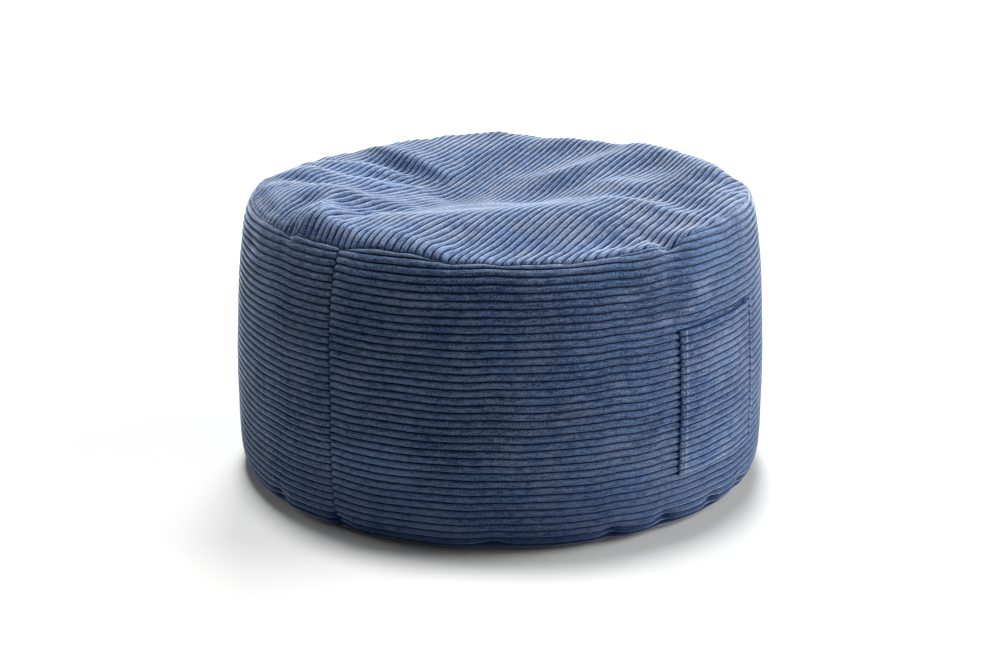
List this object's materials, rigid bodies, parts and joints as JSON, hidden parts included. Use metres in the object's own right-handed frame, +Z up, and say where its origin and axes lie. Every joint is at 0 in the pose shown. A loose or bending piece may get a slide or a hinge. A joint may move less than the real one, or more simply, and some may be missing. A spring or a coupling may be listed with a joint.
{
  "type": "bean bag",
  "caption": "Round drum-shaped corduroy bean bag with a soft folded top, a sewn side band and one open patch pocket on its side.",
  "frame": {"origin": "centre of the flat face under the base panel that the bean bag rests on", "axes": "+Z up; +X out through the pocket; the side band's sewn line faces -Y"},
  "size_m": [0.6563, 0.649, 0.3572],
  "materials": {
    "base_cloth": "matte ribbed pile",
    "band_cloth": "matte ribbed pile",
    "top_cloth": "matte ribbed pile",
    "pocket_cloth": "matte ribbed pile"
  },
  "bodies": {
    "root": {"base_panel": "base_cloth", "side_band": "band_cloth", "top_panel": "top_cloth", "pocket": "pocket_cloth"}
  },
  "joints": []
}
